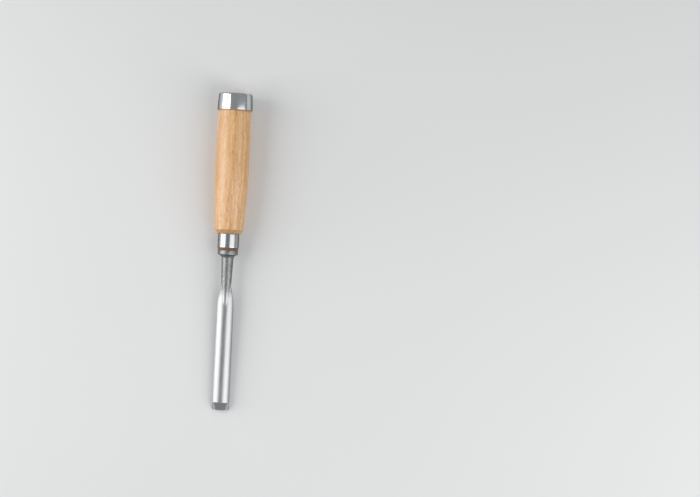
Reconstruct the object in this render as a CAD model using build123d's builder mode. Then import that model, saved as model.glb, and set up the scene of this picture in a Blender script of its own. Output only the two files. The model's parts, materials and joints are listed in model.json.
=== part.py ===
from build123d import *
import os
from math import asin, atan2, cos, hypot, radians, sin, tan

# Carving gouge with a hooped beech handle, lying on a flat surface with its hollow side down.
# It rests on the corners of its cutting edge and on the widest part of the handle. +Y runs from the
# cutting edge to the striking end, +Z is up, and the origin is on the surface under the middle of
# the tool.
# All sizes are in mm. Distances are measured along the tool from the cutting edge.

# Blade
blade_length = 136.0        # cutting edge to the seat of the bolster
edge_width = 14.6
shoulder_width = 13.2
back_height = 3.0           # back of the blade from the tool's axis
rim_height = 5.0            # rims of the hollow from the tool's axis
back_radius = 9.2
hollow_radius = 6.8
edge_wall = 2.6             # thickness at the cutting edge
shoulder_wall = 3.4         # thickness where the hollow starts to rise
bevel_angle = 22.0
hollow_end = 84.0
run_out_radius = 62.0       # radius in which the floor of the hollow rises out of the steel
shoulder_start = 91.0
shoulder_end = 106.0
shoulder_blend = 16.0
shoulder_tip = 3.9          # half width of the blade where it runs into the neck
rim_end_height = 1.6        # rims from the tool's axis where they run into the neck
flute_overlap = 4.0         # length of the fluted part that is buried in the neck
neck_nose_start = 88.0
neck_nose_radius = 3.0
neck_radius = 4.2
neck_root_radius = 5.0
bolster_length = 4.0
bolster_radius = 8.5
bolster_cove = 3.4
bolster_easing = 0.7
tang_length = 66.0
tang_root = 7.4
tang_tip = 4.0
tang_point = 1.2

# Washer between the bolster and the ferrule
washer_thickness = 2.0
washer_radius = 8.7
washer_bore_radius = 5.4
washer_easing = 0.5

# Ferrule
ferrule_length = 12.0
ferrule_radius = 8.9
ferrule_wall = 1.2
ferrule_easing = 0.35

# Handle
chamfer_length = 3.5
chamfer_radius = 9.95       # small end of the chamfer, beside the ferrule
foot_radius = 12.25         # large end of the chamfer
foot_easing = 0.6
barrel_length = 101.5       # chamfer to hoop
widest_from_hoop = 59.5
widest_radius = 14.46
barrel_blend = 320.0
hoop_shoulder_radius = 13.95
hoop_seat_radius = 13.1
hoop_seat_top_radius = 12.35
seat_below_rim = 0.8
end_flat_radius = 7.0
end_proud = 0.5             # end of the wood above the rim of the hoop
mortise_clearance = 1.5     # free space past the point of the tang

# Striking hoop
hoop_length = 14.0
hoop_lower_radius = 14.87
hoop_top_radius = 14.05
hoop_outer_easing = 1.1
hoop_inner_easing = 0.4

# Distances along the tool
washer_start = blade_length
ferrule_start = washer_start + washer_thickness
chamfer_start = ferrule_start + ferrule_length
barrel_start = chamfer_start + chamfer_length
hoop_start = barrel_start + barrel_length
hoop_end = hoop_start + hoop_length
tang_end = blade_length + tang_length
flute_end = shoulder_end + flute_overlap

# The widest part of the barrel is an arc that blends its two straight tapers
widest = hoop_start - widest_from_hoop
lower_taper = atan2(widest_radius - foot_radius, widest - barrel_start)
upper_taper = atan2(widest_radius - hoop_shoulder_radius, hoop_start - widest)
blend_length = barrel_blend * tan((lower_taper + upper_taper) / 2)
blend_start = widest - blend_length * cos(lower_taper)
blend_centre = blend_start + barrel_blend * sin(lower_taper)
blend_centre_depth = widest_radius - blend_length * sin(lower_taper) - barrel_blend * cos(lower_taper)

# The tool lies on the rims of the hollow at the cutting edge and on that arc
reach = blend_centre, blend_centre_depth - rim_height
lie_angle = atan2(reach[1], reach[0]) + asin(barrel_blend / hypot(*reach))
edge_height = rim_height * cos(lie_angle)
edge_centre = Vector(0, -hoop_end * cos(lie_angle) / 2, edge_height)
along = Vector(0, cos(lie_angle), sin(lie_angle))
tool_axis = Axis(edge_centre, along)
# Side plane: x along the tool, y out of the hollow. Top plane: x along the tool, y across it.
side = Plane(origin=edge_centre, x_dir=along, z_dir=(-1, 0, 0))
top = Plane(origin=edge_centre, x_dir=along, z_dir=side.y_dir)


def across(distance):
    """A plane square to the tool at a distance from the cutting edge, with y out of the hollow."""
    return Plane(origin=edge_centre + along * distance, x_dir=(1, 0, 0), z_dir=along)


def hollow_floor(distance):
    """The floor of the hollow at a distance from the cutting edge, measured from the tool's axis."""
    return edge_wall + (shoulder_wall - edge_wall) * distance / hollow_end - back_height


def tang_width(distance):
    """Width of the square tang, and of its mortise, at a distance from the cutting edge."""
    return tang_root + (tang_tip - tang_root) * (distance - blade_length) / tang_length


# Blade, neck, bolster and tang: one forging
with BuildPart() as blade:
    overrun = 1.0
    with BuildSketch(across(-overrun)):
        with Locations((0, back_radius - back_height)):
            Circle(back_radius)
    extrude(amount=flute_end + overrun)

    with BuildSketch(top):
        with BuildLine():
            FilletPolyline(
                (-overrun, edge_width / 2),
                (shoulder_start, shoulder_width / 2),
                (shoulder_end, shoulder_tip),
                (flute_end, shoulder_tip),
                radius=(shoulder_blend, shoulder_blend),
            )
            Line((flute_end, shoulder_tip), (flute_end, 0))
            Line((-overrun, edge_width / 2), (-overrun, 0))
            mirror(about=Plane.XZ)
        make_face()
    extrude(amount=2 * back_radius, both=True, mode=Mode.INTERSECT)

    with BuildSketch(side):
        with BuildLine():
            FilletPolyline(
                (-overrun, rim_height),
                (shoulder_start, rim_height),
                (flute_end, rim_end_height),
                radius=2 * shoulder_blend,
            )
            Polyline(
                (flute_end, rim_end_height),
                (flute_end, -back_radius),
                (-overrun, -back_radius),
                (-overrun, rim_height),
            )
        make_face()
    extrude(amount=edge_width, both=True, mode=Mode.INTERSECT)

    with BuildSketch(side):
        with BuildLine():
            Polyline(
                (blade_length, 0),
                (neck_nose_start, 0),
                (neck_nose_start, neck_nose_radius),
                (shoulder_end, neck_radius),
                (blade_length - bolster_length - bolster_cove, neck_root_radius),
            )
            TangentArc(
                (blade_length - bolster_length - bolster_cove, neck_root_radius),
                (blade_length - bolster_length, bolster_radius - bolster_easing),
                tangent=(1, 0),
            )
            Polyline(
                (blade_length - bolster_length, bolster_radius - bolster_easing),
                (blade_length - bolster_length + bolster_easing, bolster_radius),
                (blade_length - bolster_easing, bolster_radius),
                (blade_length, bolster_radius - bolster_easing),
                (blade_length, 0),
            )
        make_face()
    revolve(axis=tool_axis)

    # The hollow: a round cutter runs along the blade and rises out of it in an arc
    with BuildLine(side) as hollow_path:
        floor_run = Line(
            side.from_local_coords((-2 * overrun, hollow_radius + hollow_floor(-2 * overrun))),
            side.from_local_coords((hollow_end, hollow_radius + hollow_floor(hollow_end))),
        )
        JernArc(floor_run @ 1, floor_run % 1, radius=run_out_radius - hollow_radius, arc_size=45)
    hollow_axis = Axis(floor_run @ 0, floor_run % 0)
    with BuildSketch(Plane(origin=floor_run @ 0, z_dir=floor_run % 0)):
        Circle(hollow_radius)
    sweep(mode=Mode.SUBTRACT)

    # The bevel is a cone about the axis of the hollow, so the cutting edge is square
    bevel_slope = tan(radians(bevel_angle))
    bevel_waste = 3 * edge_wall
    with BuildSketch(side):
        with BuildLine():
            Polyline(
                (-2 * overrun, hollow_floor(0) + 2 * overrun * bevel_slope),
                (bevel_waste / bevel_slope, hollow_floor(0) - bevel_waste),
                (bevel_waste / bevel_slope, -2 * back_radius),
                (-2 * overrun, -2 * back_radius),
                close=True,
            )
        make_face()
    revolve(axis=hollow_axis, mode=Mode.SUBTRACT)

    with BuildSketch(across(blade_length)):
        Rectangle(tang_root, tang_root)
    with BuildSketch(across(tang_end)):
        Rectangle(tang_tip, tang_tip)
    loft()
    tip = blade.faces().sort_by(tool_axis)[-1]
    chamfer(tip.edges(), tang_point)
blade.part.label = "blade"

with BuildPart() as leather_washer:
    with BuildSketch(across(washer_start)):
        Circle(washer_radius)
        Circle(washer_bore_radius, mode=Mode.SUBTRACT)
    extrude(amount=washer_thickness)
    rim = leather_washer.edges().filter_by(GeomType.CIRCLE).group_by(SortBy.RADIUS)[-1]
    fillet(rim, washer_easing)
leather_washer.part.label = "leather_washer"

with BuildPart() as ferrule:
    with BuildSketch(across(ferrule_start)):
        Circle(ferrule_radius)
        Circle(ferrule_radius - ferrule_wall, mode=Mode.SUBTRACT)
    extrude(amount=ferrule_length)
    rim = ferrule.edges().filter_by(GeomType.CIRCLE).group_by(SortBy.RADIUS)[-1]
    fillet(rim, ferrule_easing)
ferrule.part.label = "ferrule"

# Handle: a turning with seats for the ferrule and the hoop, and a mortise that fits the tang
with BuildPart() as handle:
    with BuildSketch(side):
        with BuildLine():
            Polyline(
                (ferrule_start, 0),
                (ferrule_start, ferrule_radius - ferrule_wall),
                (chamfer_start, ferrule_radius - ferrule_wall),
                (chamfer_start, chamfer_radius),
                (barrel_start, foot_radius),
            )
            FilletPolyline(
                (barrel_start, foot_radius),
                (hoop_start - widest_from_hoop, widest_radius),
                (hoop_start, hoop_shoulder_radius),
                radius=barrel_blend,
            )
            Polyline(
                (hoop_start, hoop_shoulder_radius),
                (hoop_start, hoop_seat_radius),
                (hoop_end - seat_below_rim, hoop_seat_top_radius),
            )
            TangentArc(
                (hoop_end + end_proud, end_flat_radius),
                (hoop_end - seat_below_rim, hoop_seat_top_radius),
                tangent=(0, 1),
            )
            Polyline(
                (hoop_end + end_proud, end_flat_radius),
                (hoop_end + end_proud, 0),
                (ferrule_start, 0),
            )
        make_face()
    revolve(axis=tool_axis)
    foot = handle.edges().filter_by(
        lambda edge: edge.geom_type == GeomType.CIRCLE and abs(edge.radius - foot_radius) < 0.01
    )
    fillet(foot, foot_easing)
    mortise_end = tang_end + mortise_clearance
    with BuildSketch(across(ferrule_start)):
        Rectangle(tang_width(ferrule_start), tang_width(ferrule_start))
    with BuildSketch(across(mortise_end)):
        Rectangle(tang_width(mortise_end), tang_width(mortise_end))
    loft(mode=Mode.SUBTRACT)
handle.part.label = "handle"

# Hoop: a conical ring wedged on to the wood, with a rounded striking rim
with BuildPart() as striking_hoop:
    seat_slope = (hoop_seat_top_radius - hoop_seat_radius) / (hoop_length - seat_below_rim)
    hoop_bore_top = hoop_seat_radius + seat_slope * hoop_length
    with BuildSketch(side) as hoop_profile:
        with BuildLine():
            Polyline(
                (hoop_start, hoop_seat_radius),
                (hoop_start, hoop_lower_radius),
                (hoop_end, hoop_top_radius),
                (hoop_end, hoop_bore_top),
                close=True,
            )
        make_face()
        corners = hoop_profile.vertices().sort_by(Axis.Y)
        fillet(corners[2], hoop_outer_easing)
        fillet([corners[0], corners[3]], hoop_inner_easing)
    revolve(axis=tool_axis)
striking_hoop.part.label = "striking_hoop"

os.makedirs("parts", exist_ok=True)
for piece in (blade, leather_washer, ferrule, handle, striking_hoop):
    export_step(piece.part, f"parts/{piece.part.label}.step")
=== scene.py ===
import json
import math

import bpy
from mathutils import Matrix, Vector, noise


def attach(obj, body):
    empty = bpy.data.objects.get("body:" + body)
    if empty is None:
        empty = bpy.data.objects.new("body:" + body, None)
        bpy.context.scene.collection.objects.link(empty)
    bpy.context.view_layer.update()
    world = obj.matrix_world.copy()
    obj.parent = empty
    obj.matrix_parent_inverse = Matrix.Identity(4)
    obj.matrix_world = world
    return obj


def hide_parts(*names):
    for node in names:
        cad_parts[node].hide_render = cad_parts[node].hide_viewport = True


# Carving gouge: the looks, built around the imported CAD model. Shapes are written in millimetres in
# the tool's own frame: x across the tool, h up, s along it from the cutting edge. place() turns
# them into metres in the shared frame.

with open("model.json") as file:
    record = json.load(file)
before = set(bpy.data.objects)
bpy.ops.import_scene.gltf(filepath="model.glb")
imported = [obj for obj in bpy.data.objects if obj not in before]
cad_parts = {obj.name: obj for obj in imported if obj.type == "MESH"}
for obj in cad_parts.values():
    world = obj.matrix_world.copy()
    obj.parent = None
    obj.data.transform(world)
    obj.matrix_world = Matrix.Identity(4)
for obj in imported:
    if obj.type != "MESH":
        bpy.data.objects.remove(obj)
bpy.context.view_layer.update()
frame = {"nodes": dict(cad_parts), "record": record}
MM = 0.001

# The tool's own frame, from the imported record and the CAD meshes
mounts = {m["name"]: m for m in frame["record"]["mounts"]}
ALONG = Vector(mounts["striking_face"]["axis"]).normalized()
ACROSS = Vector((1.0, 0.0, 0.0))
UP = ACROSS.cross(ALONG)
STRIKING_FACE = Vector(mounts["striking_face"]["pos_m"])


def from_striking_face(node):
    """Nearest and furthest distance of a CAD node behind the striking face, in metres."""
    distances = [(STRIKING_FACE - v.co).dot(ALONG) for v in frame["nodes"][node].data.vertices]
    return min(distances), max(distances)


EDGE = STRIKING_FACE - ALONG * from_striking_face("blade")[1]


def span(node):
    """Where a CAD node starts and ends along the tool, in mm from the cutting edge."""
    near, far = from_striking_face(node)
    length = (STRIKING_FACE - EDGE).dot(ALONG)
    return (length - far) / MM, (length - near) / MM


def place(x, h, s):
    """A point of the tool's own frame, in metres in the shared frame."""
    return EDGE + (ACROSS * x + UP * h + ALONG * s) * MM


WASHER_START, WASHER_END = span("leather_washer")
FERRULE_START, FERRULE_END = span("ferrule")
HANDLE_START, HANDLE_END = span("handle")
HOOP_START, HOOP_END = span("striking_hoop")
TANG_END = span("blade")[1]
BLADE_SEAT = WASHER_START

# Ferrule and washer, in mm
FERRULE_RADIUS = 8.9
FERRULE_BORE = 7.7
WASHER_RADIUS = 8.65
WASHER_BORE = 5.4
WASHER_SWELL = 0.15         # how far the middle of the washer's rim stands out past its corners

# Handle, in mm
CHAMFER_LENGTH = 3.5
CHAMFER_RADIUS = 9.95
CHAMFER_EASING = 0.25
FOOT_RADIUS = 12.25
FOOT_EASING = 0.6
WIDEST_FROM_HOOP = 59.5
WIDEST_RADIUS = 14.46
BARREL_BLEND = 320.0
HOOP_SHOULDER = 13.95
HOOP_SEAT = 13.1
HOOP_SEAT_TOP = 12.35
SEAT_BELOW_RIM = 0.8
END_FLAT = 7.0
END_CENTRE = 0.6            # radius of the fan of faces in the middle of the flat

# Striking hoop, in mm
HOOP_LOWER = 14.87
HOOP_TOP = 14.05
HOOP_CROWN = 0.36           # four times how far its side bulges half way up

# Tang and mortise, in mm. The tang is square, and these are half widths.
TANG_ROOT = 3.7
TANG_TIP = 2.0
TANG_POINT = 1.2
MORTISE_SPARE = 1.5


# ---------------------------------------------------------------- mesh tools

def rounded(corners, steps=6):
    """A polyline of (station, radius, easing) corners as points, each corner eased by an arc of
    that radius."""
    points = []
    for i, (s, r, easing) in enumerate(corners):
        here = Vector((s, r))
        if easing == 0 or i in (0, len(corners) - 1):
            points.append((s, r))
            continue
        back = (Vector(corners[i - 1][:2]) - here).normalized()
        ahead = (Vector(corners[i + 1][:2]) - here).normalized()
        half = back.angle(ahead) / 2
        cut = easing / math.tan(half)
        centre = here + (back + ahead).normalized() * (easing / math.sin(half))
        first, last = here + back * cut - centre, here + ahead * cut - centre
        turn = math.atan2(first.x * last.y - first.y * last.x, first.dot(last))
        for k in range(steps + 1):
            p = centre + Matrix.Rotation(turn * k / steps, 2) @ first
            points.append((p.x, p.y))
    return points


def densified(points, step):
    """The same polyline with no stretch longer than step."""
    out = [points[0]]
    for (s0, r0), (s1, r1) in zip(points, points[1:]):
        n = max(1, math.ceil(math.hypot(s1 - s0, r1 - r0) / step))
        out += [(s0 + (s1 - s0) * k / n, r0 + (r1 - r0) * k / n) for k in range(1, n + 1)]
    return out


def turned_ring(s, r, segments, shift=None):
    """A ring of points about the tool's axis. shift(s, angle) is added to the radius."""
    ring = []
    for k in range(segments):
        a = 2 * math.pi * k / segments
        radius = r + (shift(s, a) if shift else 0.0)
        ring.append((radius * math.sin(a), radius * math.cos(a), s))
    return ring


def square_radius(half, angle):
    """Distance from the middle of a square of that half width to its side, at an angle."""
    return half / max(abs(math.sin(angle)), abs(math.cos(angle)))


def square_ring(s, half, segments):
    """A ring of points on a square of that half width."""
    return turned_ring(s, 0.0, segments, lambda _, a: square_radius(half, a))


def noise_round_tool(s, angle, around, along, offset=0.0):
    """Smooth noise on a turned surface. A larger around or along gives finer waves that way."""
    return noise.noise((around * math.sin(angle), around * math.cos(angle), s * along + offset))


def skin(name, rings, looped=False, thin_end=False, sharp_degrees=35.0):
    """A closed mesh through rings of equal length. A looped skin joins its last ring to its first;
    any other is closed by a fan at each end. A thin last ring, like a cutting edge, is closed by a
    strip across it. The tool coordinates are kept in an attribute for the materials."""
    n = len(rings[0])
    points = [p for ring in rings for p in ring]
    faces = []
    count = len(rings)
    for j in range(count if looped else count - 1):
        a, b = j * n, ((j + 1) % count) * n
        faces += [(a + k, a + (k + 1) % n, b + (k + 1) % n, b + k) for k in range(n)]
    if not looped:
        ends = [(rings[0], 0, -1), (rings[-1], (count - 1) * n, 1)]
        if thin_end:
            base = ends.pop()[1]
            for k in range(n // 2 - 1):
                faces.append((base + k, base + k + 1, base + n - 2 - k, base + n - 1 - k))
        for ring, base, order in ends:
            points.append(tuple(sum(p[i] for p in ring) / n for i in range(3)))
            hub = len(points) - 1
            faces += [(hub, base + k, base + (k + 1) % n)[::order] for k in range(n)]
    mesh = bpy.data.meshes.new(name)
    mesh.from_pydata([place(*p) for p in points], [], faces)
    tool = mesh.attributes.new("tool", "FLOAT_VECTOR", "POINT")
    tool.data.foreach_set("vector", [c for p in points for c in p])
    mesh.update()
    mesh.shade_smooth()
    mesh.set_sharp_from_angle(angle=math.radians(sharp_degrees))
    piece = bpy.data.objects.new(name, mesh)
    bpy.context.scene.collection.objects.link(piece)
    return piece


def smoothstep(low, high, value):
    """Rises smoothly from 0 at low to 1 at high."""
    t = min(1.0, max(0.0, (value - low) / (high - low)))
    return t * t * (3 - 2 * t)


def smooth_min(a, b, k):
    """The smaller of a and b, with the corner between them eased over k."""
    t = max(k - abs(a - b), 0.0) / k
    return min(a, b) - t * t * k / 4


# ---------------------------------------------------------------- pieces

def tang_half(s):
    """Half width of the tapered tang, and of the mortise that it fills."""
    taper = (TANG_TIP - TANG_ROOT) / (TANG_END - BLADE_SEAT)
    return TANG_ROOT + taper * (s - BLADE_SEAT)


def handle_outline():
    """The turned outline from the ferrule seat to the middle of the end, as (station, radius)
    points."""
    foot = FERRULE_END + CHAMFER_LENGTH
    widest = HOOP_START - WIDEST_FROM_HOOP
    seat_top = HOOP_END - SEAT_BELOW_RIM

    def on_lower_taper(from_foot):
        rise = from_foot * (WIDEST_RADIUS - FOOT_RADIUS) / (widest - foot)
        return foot + from_foot, FOOT_RADIUS + rise, 0

    outline = rounded([
        (HANDLE_START, FERRULE_BORE, 0),
        (FERRULE_END, FERRULE_BORE, 0),
        (FERRULE_END, CHAMFER_RADIUS, CHAMFER_EASING),
        (foot, FOOT_RADIUS, FOOT_EASING),
        on_lower_taper(8),
    ])[:-1]
    outline += rounded([
        on_lower_taper(1),
        (widest, WIDEST_RADIUS, BARREL_BLEND),
        (HOOP_START, HOOP_SHOULDER, 0),
    ], steps=16)
    outline += [(HOOP_START, HOOP_SEAT), (seat_top, HOOP_SEAT_TOP)]
    crown, crown_steps = HANDLE_END - seat_top, 8
    for k in range(1, crown_steps + 1):
        t = k / crown_steps
        radius = HOOP_SEAT_TOP + (END_FLAT - HOOP_SEAT_TOP) * t
        outline.append((HANDLE_END - crown * (1 - t) ** 2, radius))
    return outline + [(HANDLE_END, END_CENTRE)]


def make_handle():
    """The turned beech: ferrule and hoop seats, chamfered foot, barrel, crowned end and mortise."""
    segments = 192
    ripple_height, swell_height = 0.012, 0.05

    def grain_relief(s, a):
        """The barrel is a little out of round, in long ripples along the grain."""
        if s < FERRULE_END + 0.5 or s > HOOP_START - 0.4:
            return 0.0
        ripple = noise_round_tool(s, a, 9, 0.03)
        swell = noise_round_tool(s, a, 1.5, 0.02, offset=7)
        return ripple_height * ripple + swell_height * swell

    mortise_end = TANG_END + MORTISE_SPARE
    rings = [square_ring(s, tang_half(s), segments) for s in (mortise_end, HANDLE_START)]
    for s, r in densified(handle_outline(), 0.9):
        rings.append(turned_ring(s, r, segments, grain_relief))
    return skin("beech_handle", rings)


def turned_loop(name, corners, relief, is_outside, steps, longest, segments, sharp_degrees=35.0):
    """A ring-shaped turned piece, whose corners start and end at the same point of its bore. Relief
    is added only to the points that is_outside picks by radius."""
    rings = []
    for s, r in densified(rounded(corners, steps), longest)[:-1]:
        rings.append(turned_ring(s, r, segments, relief if is_outside(r) else None))
    return skin(name, rings, looped=True, sharp_degrees=sharp_degrees)


def make_hoop():
    """The conical steel ring, with a rounded striking rim and a slightly crowned side."""
    slope = (HOOP_SEAT_TOP - HOOP_SEAT) / (HOOP_END - SEAT_BELOW_RIM - HOOP_START)
    bore_top = HOOP_SEAT + slope * (HOOP_END - HOOP_START)
    middle = ((HOOP_START + HOOP_END) / 2, (HOOP_SEAT + bore_top) / 2)
    corners = [
        (*middle, 0),
        (HOOP_START, HOOP_SEAT, 0.12),
        (HOOP_START, HOOP_LOWER, 0.35),
        (HOOP_END, HOOP_TOP, 1.1),
        (HOOP_END, bore_top, 0.4),
        (*middle, 0),
    ]
    slow_height, fine_height = 0.045, 0.008

    def polish(s, a):
        """The crown, and the slight waviness that hand polishing leaves."""
        t = (s - HOOP_START) / (HOOP_END - HOOP_START)
        crown = HOOP_CROWN * max(0.0, t * (1 - t))
        slow = noise_round_tool(s, a, 2.2, 0.11)
        fine = noise_round_tool(s, a, 6, 0.3, offset=3)
        return crown + slow_height * slow + fine_height * fine

    return turned_loop("polished_hoop", corners, polish, lambda r: r > HOOP_SEAT + 0.3,
                       steps=8, longest=0.8, segments=192)


def make_ferrule():
    """The drawn steel tube, with a very slightly uneven outside."""
    middle = (FERRULE_START + FERRULE_END) / 2
    corners = [
        (middle, FERRULE_BORE, 0),
        (FERRULE_START, FERRULE_BORE, 0.2),
        (FERRULE_START, FERRULE_RADIUS, 0.45),
        (FERRULE_END, FERRULE_RADIUS, 0.35),
        (FERRULE_END, FERRULE_BORE, 0.15),
        (middle, FERRULE_BORE, 0),
    ]
    unevenness = 0.012

    def drawn(s, a):
        return unevenness * noise_round_tool(s, a, 2, 0.15, offset=11)

    return turned_loop("drawn_ferrule", corners, drawn, lambda r: r > FERRULE_BORE + 0.3,
                       steps=6, longest=0.6, segments=144)


def make_washer():
    """Leather, squeezed a little so that its rim swells, with a fibrous cut edge."""
    middle = (WASHER_START + WASHER_END) / 2
    corners = [
        (middle, WASHER_BORE, 0),
        (WASHER_START, WASHER_BORE, 0.2),
        (WASHER_START, WASHER_RADIUS - WASHER_SWELL, 0.5),
        (middle, WASHER_RADIUS, 0.6),
        (WASHER_END, WASHER_RADIUS - WASHER_SWELL, 0.5),
        (WASHER_END, WASHER_BORE, 0.2),
        (middle, WASHER_BORE, 0),
    ]
    coarse_height, fine_height = 0.05, 0.025

    def fibres(s, a):
        coarse = noise_round_tool(s, a, 8, 1.6)
        fine = noise_round_tool(s, a, 34, 5)
        return coarse_height * coarse + fine_height * fine - coarse_height

    return turned_loop("cut_leather_washer", corners, fibres, lambda r: r > WASHER_RADIUS - 0.9,
                       steps=6, longest=0.25, segments=240, sharp_degrees=80)


# Blade, in mm. y is measured out of the hollow, which faces down, so h is -y.
EDGE_HALF = 7.3
SHOULDER_HALF = 6.6
SHOULDER_TIP = 3.9
BACK_HEIGHT = 3.0
BACK_RADIUS = 9.2
RIM_HEIGHT = 5.0
RIM_END_HEIGHT = 1.6
RIM_EASING = 0.18
EASING_SHARE = 0.4          # most of a narrow rim or a low wall that its eased corner may take
HOLLOW_RADIUS = 6.8
LEAST_HOLLOW = 0.35         # narrowest half of the hollow, as a share of the half width
NARROWEST_RIM = 0.004
EDGE_WALL = 2.6
SHOULDER_WALL = 3.4
HOLLOW_END = 84.0
RUN_OUT_RADIUS = 62.0
RUN_OUT_SHARE = 0.9         # the run-out stops short of the height of its own centre
SHOULDER_START = 91.0
SHOULDER_END = 106.0
FLUTE_END = 110.0
WIDTH_EASE = 2.5            # length over which the corners of the shoulder are eased, each side
RIM_EASE = 3.5
NECK_EASE = 0.5             # where the neck comes out of the rims
FLUTE_EASE = 0.25           # where the neck meets the hollow
BEVEL_SLOPE = math.tan(math.radians(22.0))
BEVEL_START = 0.02          # the bevel stops this short of a true knife edge
NECK_NOSE = 3.0
NECK_NOSE_START = 88.0
NECK_RADIUS = 4.2
NECK_ROOT = 5.0
BOLSTER_LENGTH = 4.0
BOLSTER_COVE = 3.4
BOLSTER_RADIUS = 8.5
BOLSTER_EASING = 0.7
THINNEST = 0.03
FORGED_HEIGHT = 0.05

# Columns of faces round the fluted part
HOLLOW_COLUMNS = 44
RIM_COLUMNS = 4
WALL_COLUMNS = 5
BACK_COLUMNS = 56
FRONT_COLUMNS = HOLLOW_COLUMNS + 1 + 2 * RIM_COLUMNS
NECK_WALL_DEGREES = 84.0    # where each wall of the flute meets the round neck


def hollow_centre(s):
    """Height of the middle of the round hollow, which rises out of the steel in an arc."""
    wall = EDGE_WALL + (SHOULDER_WALL - EDGE_WALL) * min(s, HOLLOW_END) / HOLLOW_END
    floor = wall - BACK_HEIGHT
    if s > HOLLOW_END:
        run = min(s - HOLLOW_END, RUN_OUT_RADIUS * RUN_OUT_SHARE)
        floor += RUN_OUT_RADIUS - math.sqrt(RUN_OUT_RADIUS ** 2 - run ** 2)
    return floor + HOLLOW_RADIUS


def eased_ramp(u, ease):
    """Zero before 0 and u after it, with the corner eased over that length on each side."""
    if abs(u) >= ease:
        return max(u, 0.0)
    return (u + ease) ** 2 / (4 * ease)


def half_width(s):
    """Half width of the fluted part."""
    taper = EDGE_HALF + (SHOULDER_HALF - EDGE_HALF) * min(s, SHOULDER_START) / SHOULDER_START
    slope = (SHOULDER_TIP - SHOULDER_HALF) / (SHOULDER_END - SHOULDER_START)
    start = eased_ramp(s - SHOULDER_START, WIDTH_EASE)
    end = eased_ramp(s - SHOULDER_END, WIDTH_EASE)
    return taper + slope * (start - end)


def rim_height(s):
    """Height of the rims of the hollow."""
    slope = (RIM_END_HEIGHT - RIM_HEIGHT) / (FLUTE_END - SHOULDER_START)
    return RIM_HEIGHT + slope * eased_ramp(s - SHOULDER_START, RIM_EASE)


def back_surface(x):
    """Height of the rounded back."""
    return BACK_RADIUS - BACK_HEIGHT - math.sqrt(BACK_RADIUS ** 2 - x * x)


def blade_section(s):
    """The fluted part's cross-section as (x, y) points: hollow and rims, one side, back, other
    side."""
    centre, rim, w = hollow_centre(s), rim_height(s), half_width(s)
    bevel = HOLLOW_RADIUS + max(s, BEVEL_START) * BEVEL_SLOPE
    drop = centre - rim
    if bevel ** 2 - drop ** 2 < w ** 2:
        w = math.sqrt(bevel ** 2 - drop ** 2)
    inner = math.sqrt(max(HOLLOW_RADIUS ** 2 - drop ** 2, 0.0))
    inner = max(min(inner, w - NARROWEST_RIM), LEAST_HOLLOW * w)

    def hollow(x):
        return centre - math.sqrt(max(HOLLOW_RADIUS ** 2 - x * x, 0.0))

    def back(x):
        limit = centre - math.sqrt(max(bevel ** 2 - x * x, 0.0))
        return min(max(back_surface(x), limit), rim - THINNEST)

    side_foot = back(w)
    easing = min(RIM_EASING, (w - inner) * EASING_SHARE, (rim - side_foot) * EASING_SHARE)
    front = []
    for k in range(HOLLOW_COLUMNS + 1):
        x = inner * math.sin(math.pi * (k / HOLLOW_COLUMNS - 0.5))
        front.append((x, min(rim, hollow(x))))
    rim_width = w - easing - inner
    rims = [(inner + rim_width * k / RIM_COLUMNS, rim) for k in range(1, RIM_COLUMNS + 1)]
    front = [(-x, y) for x, y in rims[::-1]] + front + rims
    side_top = rim - easing
    side_height = side_foot - side_top
    side = [(w, side_top + side_height * k / (WALL_COLUMNS - 1)) for k in range(WALL_COLUMNS)]
    under = [w * math.cos(math.pi * k / BACK_COLUMNS) for k in range(1, BACK_COLUMNS)]
    under = [(x, back(x)) for x in under]
    return front + side + under + [(-x, y) for x, y in side[::-1]]


def neck_angles():
    """The angle on the round neck that each point of the blade's cross-section runs into."""
    edge = NECK_WALL_DEGREES
    front = [-edge + 2 * edge * k / (FRONT_COLUMNS - 1) for k in range(FRONT_COLUMNS)]
    gap = 180 - 2 * edge
    side = [edge + gap * (k + 1) / (WALL_COLUMNS + 1) for k in range(WALL_COLUMNS)]
    first = edge + gap
    under = [first + (360 - 2 * first) * k / BACK_COLUMNS for k in range(1, BACK_COLUMNS)]
    return [math.radians(a) for a in front + side + under + [360 - a for a in side[::-1]]]


def neck_profile(s):
    """Radius of the round neck at a station."""
    if s < SHOULDER_END:
        t = max(0.0, (s - NECK_NOSE_START) / (SHOULDER_END - NECK_NOSE_START))
        return NECK_NOSE + (NECK_RADIUS - NECK_NOSE) * t
    end = BLADE_SEAT - BOLSTER_LENGTH - BOLSTER_COVE
    return NECK_RADIUS + (NECK_ROOT - NECK_RADIUS) * (s - SHOULDER_END) / (end - SHOULDER_END)


def blade_stations():
    """Stations along the fluted part: close at the bevel and the shoulder, 1 mm apart between."""
    bevel = [0.0, 0.1, 0.25, 0.5] + [0.25 * k for k in range(3, 32)]
    middle = [8.0 + k for k in range(74)]
    shoulder = [82.0 + 0.4 * k for k in range(74)]
    return bevel + middle + shoulder


def forged(s, a):
    """The neck keeps a trace of the hammer; the ground parts don't."""
    amount = FORGED_HEIGHT * smoothstep(SHOULDER_START, FLUTE_END, s)
    return amount * noise_round_tool(s, a, 1.6, 0.22)


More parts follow.
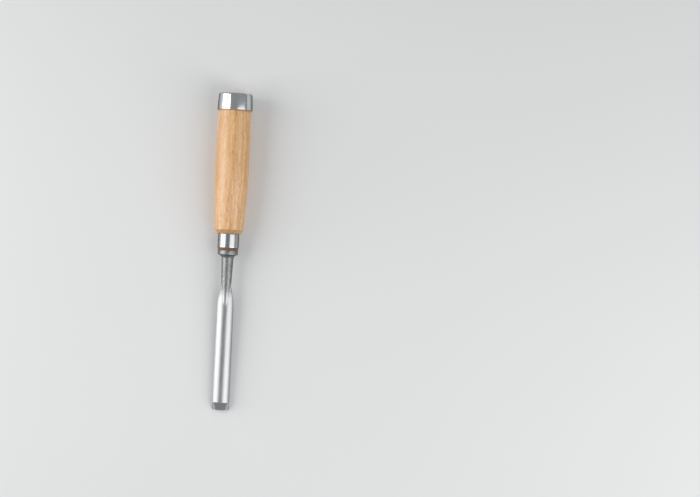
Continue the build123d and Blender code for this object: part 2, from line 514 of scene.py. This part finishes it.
def joined_to_neck(s, x, y, in_front, neck_angle):
    """A point of the fluted section, moved out to the round neck wherever the neck stands proud."""
    if s < NECK_NOSE_START:
        return x, y
    radius = neck_profile(s) + forged(s, math.atan2(x, y))
    if in_front:
        neck_top = math.sqrt(max(radius ** 2 - x * x, 0.0))
        y = -smooth_min(-y, -neck_top, NECK_EASE)
        if abs(x) < HOLLOW_RADIUS:
            hollow = hollow_centre(s) - math.sqrt(HOLLOW_RADIUS ** 2 - x * x)
            y = smooth_min(y, hollow, FLUTE_EASE)
    reach = math.hypot(x, y)
    if not in_front and reach < radius:
        x, y = x * radius / reach, y * radius / reach
    settle = smoothstep(SHOULDER_END, FLUTE_END, s)
    here = math.atan2(x, y)
    turn = (neck_angle - here + math.pi) % (2 * math.pi) - math.pi
    angle = here + turn * settle
    reach = math.hypot(x, y)
    reach += (radius - reach) * settle
    return reach * math.sin(angle), reach * math.cos(angle)


def blade_ring(s, radii, angles):
    """A ring about the tool's axis, in step with the points of the fluted part's cross-section."""
    return [(r * math.sin(a), -r * math.cos(a), s) for r, a in zip(radii, angles)]


def neck_and_bolster():
    """The round part past the flute, as (station, radius) points, with the ends of its cove."""
    cove_end = BLADE_SEAT - BOLSTER_LENGTH
    cove_start = cove_end - BOLSTER_COVE
    cove_top = BOLSTER_RADIUS - BOLSTER_EASING
    neck_stations = (112.0, 114.5, 117.0, 119.5, 122.0, 124.0, 126.0, 127.6)
    points = [(s, neck_profile(s)) for s in neck_stations] + [(cove_start, NECK_ROOT)]
    steps = 12
    for k in range(1, steps + 1):
        a = math.radians(90) * k / steps
        rise = (cove_top - NECK_ROOT) * (1 - math.cos(a))
        points.append((cove_start + BOLSTER_COVE * math.sin(a), NECK_ROOT + rise))
    points += rounded([
        (cove_end, cove_top - 0.3, 0),
        (cove_end, BOLSTER_RADIUS, BOLSTER_EASING),
        (BLADE_SEAT, BOLSTER_RADIUS, BOLSTER_EASING * 0.6),
        (BLADE_SEAT, TANG_ROOT * 1.5, 0),
    ])[2:]
    return points, cove_start, cove_end


def make_blade():
    """One forging: cutting edge, flute, neck, bolster and tang."""
    angles = neck_angles()
    rings = []
    for s in blade_stations():
        ring = []
        for i, ((x, y), a) in enumerate(zip(blade_section(s), angles)):
            x, y = joined_to_neck(s, x, y, i < FRONT_COLUMNS, a)
            ring.append((x, -y, s))
        rings.append(ring)
    turned, cove_start, cove_end = neck_and_bolster()
    for s, r in turned:
        hammered = 1 - smoothstep(cove_start, cove_end, s)
        rings.append(blade_ring(s, [r + forged(s, a) * hammered for a in angles], angles))
    for s in (BLADE_SEAT, BLADE_SEAT + 20, BLADE_SEAT + 44, TANG_END - TANG_POINT, TANG_END):
        half = tang_half(s) - (TANG_POINT if s == TANG_END else 0.0)
        rings.append(blade_ring(s, [square_radius(half, a) for a in angles], angles))
    return skin("forged_blade", rings[::-1], thin_end=True, sharp_degrees=28)


# ---------------------------------------------------------------- materials

# Colours are linear RGB. Lengths are in mm.
BEECH_TAN = (0.690, 0.375, 0.130)
BEECH_PALE = (0.900, 0.575, 0.300)
BEECH_LATE_WOOD = (0.620, 0.310, 0.100)
BEECH_FIBRE = (0.590, 0.285, 0.085)
BEECH_PINK = (0.860, 0.500, 0.280)
BEECH_YELLOW = (0.700, 0.370, 0.118)
BEECH_FLECK = (0.390, 0.180, 0.060)
# grime beside the ferrule, and the colour of the painted shade below the hoop
BEECH_GRIME_AND_SHADE = (0.260, 0.120, 0.045)
# painted shade on the chamfer
BEECH_CHAMFER_SHADE = (0.420, 0.190, 0.070)
END_GRAIN_PORE = (0.420, 0.215, 0.085)
END_GRAIN = (0.600, 0.350, 0.160)
END_GRAIN_LATE = (0.340, 0.165, 0.062)
RING_TURN = math.radians(128)       # which way the growth rings cross the handle
RING_BOW_DIAMETER = 90.0
RING_WANDER = 5.0
RING_SPACING = 2.9

PLATED_LOW = (0.640, 0.655, 0.670)
PLATED_HIGH = (0.700, 0.710, 0.715)
PLATED_SCUFF = (0.560, 0.570, 0.580)
# a very dark edge tint: painted shade along the metal's grazing edges
PLATED_EDGE_SHADE_TINT = (0.10, 0.105, 0.11, 1.0)

STEEL_LOW = (0.360, 0.365, 0.370)
STEEL_HIGH = (0.480, 0.485, 0.490)
STEEL_PATINA = (0.330, 0.315, 0.290)
STEEL_BEVEL = (0.560, 0.565, 0.570)
STEEL_TINT = (0.30, 0.31, 0.32, 1.0)
FORGED_LOW = (0.150, 0.150, 0.155)
FORGED_HIGH = (0.290, 0.285, 0.280)

LEATHER_LOW = (0.120, 0.052, 0.022)
LEATHER_HIGH = (0.300, 0.150, 0.070)
LEATHER_STAIN = (0.090, 0.040, 0.020)

BACKDROP = (0.74, 0.75, 0.75, 1.0)
FADE_START = 0.50                   # the floor turns into the backdrop between these, in metres
FADE_END = 1.10
FLOOR_LOW = (0.760, 0.760, 0.755)
FLOOR_HIGH = (0.800, 0.800, 0.795)


class Nodes:
    """A small helper that adds shader nodes and links them."""

    def __init__(self, name):
        self.material = bpy.data.materials.new(name)
        self.material.use_nodes = True
        self.tree = self.material.node_tree
        self.shader = self.tree.nodes["Principled BSDF"]
        self.tool = self.add("ShaderNodeAttribute", attribute_name="tool").outputs["Vector"]

    def add(self, kind, **settings):
        node = self.tree.nodes.new(kind)
        for key, value in settings.items():
            setattr(node, key, value)
        return node

    def feed(self, socket, value):
        """Links the socket to a node's output, or sets its value."""
        if isinstance(value, bpy.types.NodeSocket):
            self.tree.links.new(value, socket)
        else:
            socket.default_value = value

    def maths(self, operation, a, b=0.0):
        node = self.add("ShaderNodeMath", operation=operation)
        self.feed(node.inputs[0], a)
        self.feed(node.inputs[1], b)
        return node.outputs[0]

    def plus(self, a, b):
        return self.maths("ADD", a, b)

    def minus(self, a, b):
        return self.maths("SUBTRACT", a, b)

    def times(self, a, b):
        return self.maths("MULTIPLY", a, b)

    def noise(self, vector, scale=1.0, detail=2.0, roughness=0.5, distortion=0.0):
        node = self.add("ShaderNodeTexNoise")
        self.feed(node.inputs["Vector"], vector)
        node.inputs["Scale"].default_value = scale
        node.inputs["Detail"].default_value = detail
        node.inputs["Roughness"].default_value = roughness
        node.inputs["Distortion"].default_value = distortion
        return node.outputs["Fac"]

    def grain(self, across, up, along, **settings):
        """Noise that rides on the tool, with its frequency per mm across, up and along the tool."""
        stretched = self.add("ShaderNodeVectorMath", operation="MULTIPLY")
        self.feed(stretched.inputs[0], self.tool)
        stretched.inputs[1].default_value = (across, up, along)
        return self.noise(stretched.outputs[0], **settings)

    def ranged(self, value, low, high, to_low=0.0, to_high=1.0):
        """The value, moved smoothly from the range low to high into the other range."""
        node = self.add("ShaderNodeMapRange", interpolation_type="SMOOTHSTEP")
        self.feed(node.inputs["Value"], value)
        for key, number in zip(("From Min", "From Max", "To Min", "To Max"),
                               (low, high, to_low, to_high)):
            node.inputs[key].default_value = number
        return node.outputs["Result"]

    def mix(self, factor, a, b):
        node = self.add("ShaderNodeMix", data_type="RGBA")
        self.feed(node.inputs[0], factor)
        self.feed(node.inputs[6], (*a, 1.0) if isinstance(a, tuple) else a)
        self.feed(node.inputs[7], (*b, 1.0) if isinstance(b, tuple) else b)
        return node.outputs[2]

    def parts(self, vector):
        node = self.add("ShaderNodeSeparateXYZ")
        self.feed(node.inputs[0], vector)
        return node.outputs

    def joined(self, x, y, z):
        node = self.add("ShaderNodeCombineXYZ")
        for socket, value in zip(node.inputs, (x, y, z)):
            self.feed(socket, value)
        return node.outputs[0]

    def along_tool(self):
        """How far the surface faces the striking end, from -1 to 1."""
        node = self.add("ShaderNodeVectorMath", operation="DOT_PRODUCT")
        self.feed(node.inputs[0], self.add("ShaderNodeNewGeometry").outputs["Normal"])
        node.inputs[1].default_value = ALONG
        return node.outputs["Value"]

    def relief(self, height, depth_mm, strength):
        node = self.add("ShaderNodeBump")
        node.inputs["Strength"].default_value = strength
        node.inputs["Distance"].default_value = depth_mm * MM
        self.feed(node.inputs["Height"], height)
        return node.outputs["Normal"]

    def finished(self, colour, roughness, normal, **uniform):
        """The material, with those three linked and the uniform values set on the shader itself."""
        self.feed(self.shader.inputs["Base Color"], colour)
        self.feed(self.shader.inputs["Roughness"], roughness)
        self.feed(self.shader.inputs["Normal"], normal)
        for name, value in uniform.items():
            self.shader.inputs[name.replace("_", " ")].default_value = value
        return self.material


def beech_material():
    """Steamed beech under clear satin lacquer: growth rings, long fibres, short dark ray flecks."""
    m = Nodes("lacquered_beech")
    x, h, s = m.parts(m.tool)
    cosine, sine = math.cos(RING_TURN), math.sin(RING_TURN)
    across_rings = m.plus(m.times(x, cosine), m.times(h, sine))
    along_rings = m.minus(m.times(h, cosine), m.times(x, sine))
    bow = m.times(m.times(along_rings, along_rings), 1 / RING_BOW_DIAMETER)
    wander = m.grain(0.05, 0.05, 0.014)
    depth = m.plus(m.plus(across_rings, bow), m.times(wander, RING_WANDER))

    # growth rings: a slow rise and a quicker fall in tone across each year
    year = m.maths("FRACT", m.times(depth, 1 / RING_SPACING))
    late = m.times(m.ranged(year, 0.35, 0.95), m.ranged(year, 1.0, 0.93))
    streak_space = m.joined(m.times(depth, 0.5), m.times(along_rings, 0.30), m.times(s, 0.012))
    streaks = m.noise(streak_space, detail=3.0, roughness=0.65)
    fibres = m.grain(2.2, 2.2, 0.05, detail=3.0, roughness=0.65)
    pink = m.grain(0.055, 0.055, 0.02)
    colour = m.mix(m.ranged(streaks, 0.41, 0.59), BEECH_TAN, BEECH_PALE)
    colour = m.mix(m.times(late, 0.45), colour, BEECH_LATE_WOOD)
    colour = m.mix(m.ranged(fibres, 0.44, 0.58, 0.0, 0.62), colour, BEECH_FIBRE)
    colour = m.mix(m.ranged(pink, 0.42, 0.62, 0.0, 0.38), colour, BEECH_PINK)
    colour = m.mix(m.ranged(depth, 3.0, -8.0, 0.0, 0.38), colour, BEECH_YELLOW)

    # rays: thin sheets that run from the heart of the tree, cut by the surface into short dashes
    ray_space = m.joined(m.times(along_rings, 2.0), m.times(depth, 1.1), m.times(s, 0.28))
    flecks = m.ranged(m.noise(ray_space, detail=1.0, roughness=0.4), 0.575, 0.69)
    colour = m.mix(m.times(flecks, 0.55), colour, BEECH_FLECK)

    # painted shade below the hoop's overhang and on the chamfer; grime and old lacquer gather beside
    # the ferrule
    foot = FERRULE_END + CHAMFER_LENGTH
    ragged = m.times(m.grain(0.9, 0.9, 0.9, detail=3.0), 1.2)
    # painted shade: the wood just below the hoop is darkened where the hoop stands proud of it
    painted_shade_by_hoop = m.ranged(m.plus(s, ragged), HOOP_START - 1.4, HOOP_START + 0.4, 0.0, 0.72)
    by_ferrule = m.ranged(m.minus(s, ragged), FERRULE_END + 0.6, FERRULE_END - 0.6, 0.0, 0.6)
    chamfer_edge = m.plus(s, m.times(ragged, 0.3))
    # painted shade: the chamfer is darkened where it faces away from the lights
    painted_shade_on_chamfer = m.ranged(chamfer_edge, foot + 0.7, foot - 0.3, 0.0, 0.42)
    colour = m.mix(m.maths("MAXIMUM", painted_shade_by_hoop, by_ferrule), colour, BEECH_GRIME_AND_SHADE)
    colour = m.mix(painted_shade_on_chamfer, colour, BEECH_CHAMFER_SHADE)

    # end grain and cut shoulders drink more lacquer and stay darker
    end_grain = m.ranged(m.maths("ABSOLUTE", m.along_tool()), 0.30, 0.75)
    pores = m.grain(5.5, 5.5, 0.5, roughness=0.7)
    end_colour = m.mix(m.ranged(pores, 0.40, 0.62), END_GRAIN_PORE, END_GRAIN)
    end_colour = m.mix(m.times(late, 0.5), end_colour, END_GRAIN_LATE)
    colour = m.mix(m.times(end_grain, 0.75), colour, end_colour)

    smears = m.grain(0.35, 0.35, 0.10, detail=3.0)
    height = m.minus(m.times(fibres, 0.5), m.times(flecks, 0.6))
    return m.finished(colour, m.ranged(smears, 0.3, 0.7, 0.36, 0.46), m.relief(height, 0.03, 0.7),
                      Coat_Weight=0.6, Coat_Roughness=0.24, IOR=1.5)


def plated_material(name, roughness, tone=1.0):
    """Bright plated steel: fine polishing marks round the tool, and faint scuffs. A tone below 1
    makes the metal's colour darker, a painted shade."""
    m = Nodes(name)

    def with_painted_shade(colour):
        return tuple(channel * tone for channel in colour)

    marks = m.grain(0.25, 0.25, 9.0, detail=3.0, roughness=0.7)
    scuffs = m.grain(1.3, 1.3, 0.9, detail=4.0, roughness=0.7, distortion=0.6)
    scuffed = m.ranged(scuffs, 0.56, 0.68)
    colour = m.mix(m.ranged(marks, 0.35, 0.65), with_painted_shade(PLATED_LOW), with_painted_shade(PLATED_HIGH))
    colour = m.mix(m.times(scuffed, 0.35), colour, with_painted_shade(PLATED_SCUFF))
    rough = m.ranged(marks, 0.3, 0.7, roughness, roughness + 0.06)
    rough = m.plus(rough, m.times(scuffed, 0.08))
    # the dark Specular Tint paints shade along the grazing edges of the plated steel
    return m.finished(colour, rough, m.relief(marks, 0.004, 0.5),
                      Metallic=1.0, Specular_Tint=PLATED_EDGE_SHADE_TINT)


def steel_material():
    """Tool steel: lengthwise grinding on the fluted part, polished bevel, darker forged neck."""
    m = Nodes("ground_tool_steel")
    s = m.parts(m.tool)[2]
    ragged = m.times(m.grain(0.5, 0.5, 0.3, detail=3.0), 6.0)
    neck = m.ranged(m.plus(s, ragged), SHOULDER_START + 4, SHOULDER_END + 3)
    long_lines = m.grain(7.0, 7.0, 0.09, detail=4.0, roughness=0.75)
    cross_lines = m.grain(0.35, 0.35, 8.0, detail=4.0, roughness=0.7)
    forge = m.grain(0.55, 0.55, 0.45, detail=5.0, roughness=0.65)
    patina = m.grain(0.16, 0.16, 0.05, detail=4.0, roughness=0.6)

    colour = m.mix(m.ranged(long_lines, 0.35, 0.65), STEEL_LOW, STEEL_HIGH)
    colour = m.mix(m.ranged(patina, 0.52, 0.75, 0.0, 0.35), colour, STEEL_PATINA)
    dark = m.mix(m.ranged(forge, 0.35, 0.65), FORGED_LOW, FORGED_HIGH)
    colour = m.mix(m.times(neck, 0.8), colour, dark)

    # the bevel is the part near the edge that faces away from the striking end
    bevel = m.times(m.ranged(m.along_tool(), -0.18, -0.30), m.ranged(s, 16.0, 15.0))
    colour = m.mix(bevel, colour, STEEL_BEVEL)
    rough = m.plus(m.ranged(long_lines, 0.3, 0.7, 0.33, 0.46), m.times(neck, 0.08))
    rough = m.minus(rough, m.times(bevel, 0.20))
    height = m.mix(neck, m.mix(bevel, long_lines, cross_lines), forge)
    return m.finished(colour, rough, m.relief(height, 0.02, 0.5),
                      Metallic=1.0, Specular_Tint=STEEL_TINT)


def leather_material():
    """Brown leather, with fibres that lie flat in the washer and a few darker stains."""
    m = Nodes("vegetable_tanned_leather")
    fibre = m.grain(1.4, 1.4, 5.0, detail=5.0, roughness=0.7)
    stain = m.grain(0.25, 0.25, 0.25, detail=3.0)
    colour = m.mix(m.ranged(fibre, 0.35, 0.65), LEATHER_LOW, LEATHER_HIGH)
    colour = m.mix(m.ranged(stain, 0.45, 0.7, 0.0, 0.5), colour, LEATHER_STAIN)
    return m.finished(colour, m.ranged(fibre, 0.3, 0.7, 0.55, 0.8), m.relief(fibre, 0.12, 0.8))


def floor_material():
    """Pale matt floor. Far from the tool it fades into the backdrop, with no horizon."""
    m = Nodes("pale_floor")
    place_on_floor = m.add("ShaderNodeTexCoord").outputs["Object"]
    tone = m.noise(place_on_floor, scale=3.0, detail=3.0)
    m.feed(m.shader.inputs["Base Color"], m.mix(tone, FLOOR_LOW, FLOOR_HIGH))
    m.shader.inputs["Roughness"].default_value = 0.8
    m.shader.inputs["Specular IOR Level"].default_value = 0.2
    away = m.add("ShaderNodeVectorMath", operation="LENGTH")
    m.feed(away.inputs[0], place_on_floor)
    glow = m.add("ShaderNodeEmission")
    glow.inputs["Color"].default_value = BACKDROP
    fade = m.add("ShaderNodeMixShader")
    m.feed(fade.inputs[0], m.ranged(away.outputs["Value"], FADE_START, FADE_END))
    m.feed(fade.inputs[1], m.shader.outputs[0])
    m.feed(fade.inputs[2], glow.outputs[0])
    m.feed(m.tree.nodes["Material Output"].inputs["Surface"], fade.outputs[0])
    return m.material


# ---------------------------------------------------------------- assembly

hoop_steel = plated_material("polished_hoop_steel", 0.10)
# the ferrule's tone below 1 is painted shade on the same plated steel as the hoop
ferrule_steel = plated_material("drawn_ferrule_steel", 0.20, tone=0.65)
PIECES = [
    (make_handle(), beech_material(), "handle", "beech"),
    (make_hoop(), hoop_steel, "striking_hoop", "plated_steel"),
    (make_ferrule(), ferrule_steel, "ferrule", "plated_steel"),
    (make_washer(), leather_material(), "leather_washer", "leather"),
    (make_blade(), steel_material(), "blade", "forged_steel"),
]
for piece, finish, node, slot in PIECES:
    piece.data.materials.append(finish)
    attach(piece, "root")
    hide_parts(node)


# ---------------------------------------------------------------- stage, light and camera

# In metres and degrees
FLOOR_HALF_SIDE = 4.0
LIGHT_DISTANCE = 1.1
SKY = (0.93, 0.97, 1.0, 1.0)
SKY_STRENGTH = 0.34
LEAN = 2.9
RIGHT_OF_TOOL = 0.1038
AHEAD_OF_MIDDLE = 0.003
CAMERA_DISTANCE = 1.466
SENSOR_MM = 36.0
LENS_MM = 88.7


def add_floor():
    half = FLOOR_HALF_SIDE
    mesh = bpy.data.meshes.new("floor")
    corners = [(-half, -half, 0.0), (half, -half, 0.0), (half, half, 0.0), (-half, half, 0.0)]
    mesh.from_pydata(corners, [], [(0, 1, 2, 3)])
    floor = bpy.data.objects.new("floor", mesh)
    bpy.context.scene.collection.objects.link(floor)
    floor.data.materials.append(floor_material())


def add_softbox(name, from_vertical, width, ends, radiance):
    """A soft light beside the tool, that many degrees from straight above it (negative is to the
    left). It reaches along the tool between those ends, in metres from the middle of the tool."""
    length = ends[1] - ends[0]
    light = bpy.data.lights.new(name, "AREA")
    light.shape = "RECTANGLE"
    light.size = width
    light.size_y = length
    light.energy = radiance * math.pi * width * length
    lamp = bpy.data.objects.new(name, light)
    bpy.context.scene.collection.objects.link(lamp)
    a = math.radians(from_vertical)
    outward = ACROSS * math.sin(a) + UP * math.cos(a)
    middle = place(0.0, 0.0, HOOP_END / 2) + ALONG * (ends[0] + ends[1]) / 2
    centre = middle + outward * LIGHT_DISTANCE
    facing = Matrix((ALONG.cross(outward), ALONG, outward)).transposed().to_4x4()
    lamp.matrix_world = Matrix.Translation(centre) @ facing
    lamp.visible_camera = False


def add_world():
    """Even light from all round. The camera sees the plain backdrop instead."""
    world = bpy.data.worlds.new("studio")
    world.use_nodes = True
    tree = world.node_tree
    sky = tree.nodes["Background"]
    sky.inputs["Color"].default_value = SKY
    sky.inputs["Strength"].default_value = SKY_STRENGTH
    backdrop = tree.nodes.new("ShaderNodeBackground")
    backdrop.inputs["Color"].default_value = BACKDROP
    seen = tree.nodes.new("ShaderNodeLightPath")
    choose = tree.nodes.new("ShaderNodeMixShader")
    tree.links.new(seen.outputs["Is Camera Ray"], choose.inputs[0])
    tree.links.new(sky.outputs[0], choose.inputs[1])
    tree.links.new(backdrop.outputs[0], choose.inputs[2])
    tree.links.new(choose.outputs[0], tree.nodes["World Output"].inputs["Surface"])
    bpy.context.scene.world = world


def add_camera():
    """Looks at right angles to the tool's axis, from a point to the right of the tool. So the tool
    stands left of the picture's middle, and it leans a little to the right."""
    lean = math.radians(LEAN)
    right = ACROSS * math.cos(lean) + ALONG * math.sin(lean)
    up = ALONG * math.cos(lean) - ACROSS * math.sin(lean)
    middle = place(0.0, 0.0, HOOP_END / 2)
    data = bpy.data.cameras.new("camera")
    data.sensor_width = SENSOR_MM
    data.lens = LENS_MM
    camera = bpy.data.objects.new("camera", data)
    bpy.context.scene.collection.objects.link(camera)
    where = middle + right * RIGHT_OF_TOOL + up * AHEAD_OF_MIDDLE + UP * CAMERA_DISTANCE
    facing = Matrix((right, up, UP)).transposed().to_4x4()
    camera.matrix_world = Matrix.Translation(where) @ facing
    bpy.context.scene.camera = camera


add_floor()
add_softbox("left_softbox", -60.0, 1.2, (-0.42, 0.46), 3.0)
add_softbox("right_softbox", 46.0, 1.1, (-0.58, -0.03), 3.0)
add_softbox("right_fill", 46.0, 1.1, (-0.03, 0.29), 1.0)
add_world()
add_camera()
bpy.context.scene.view_settings.view_transform = "Standard"
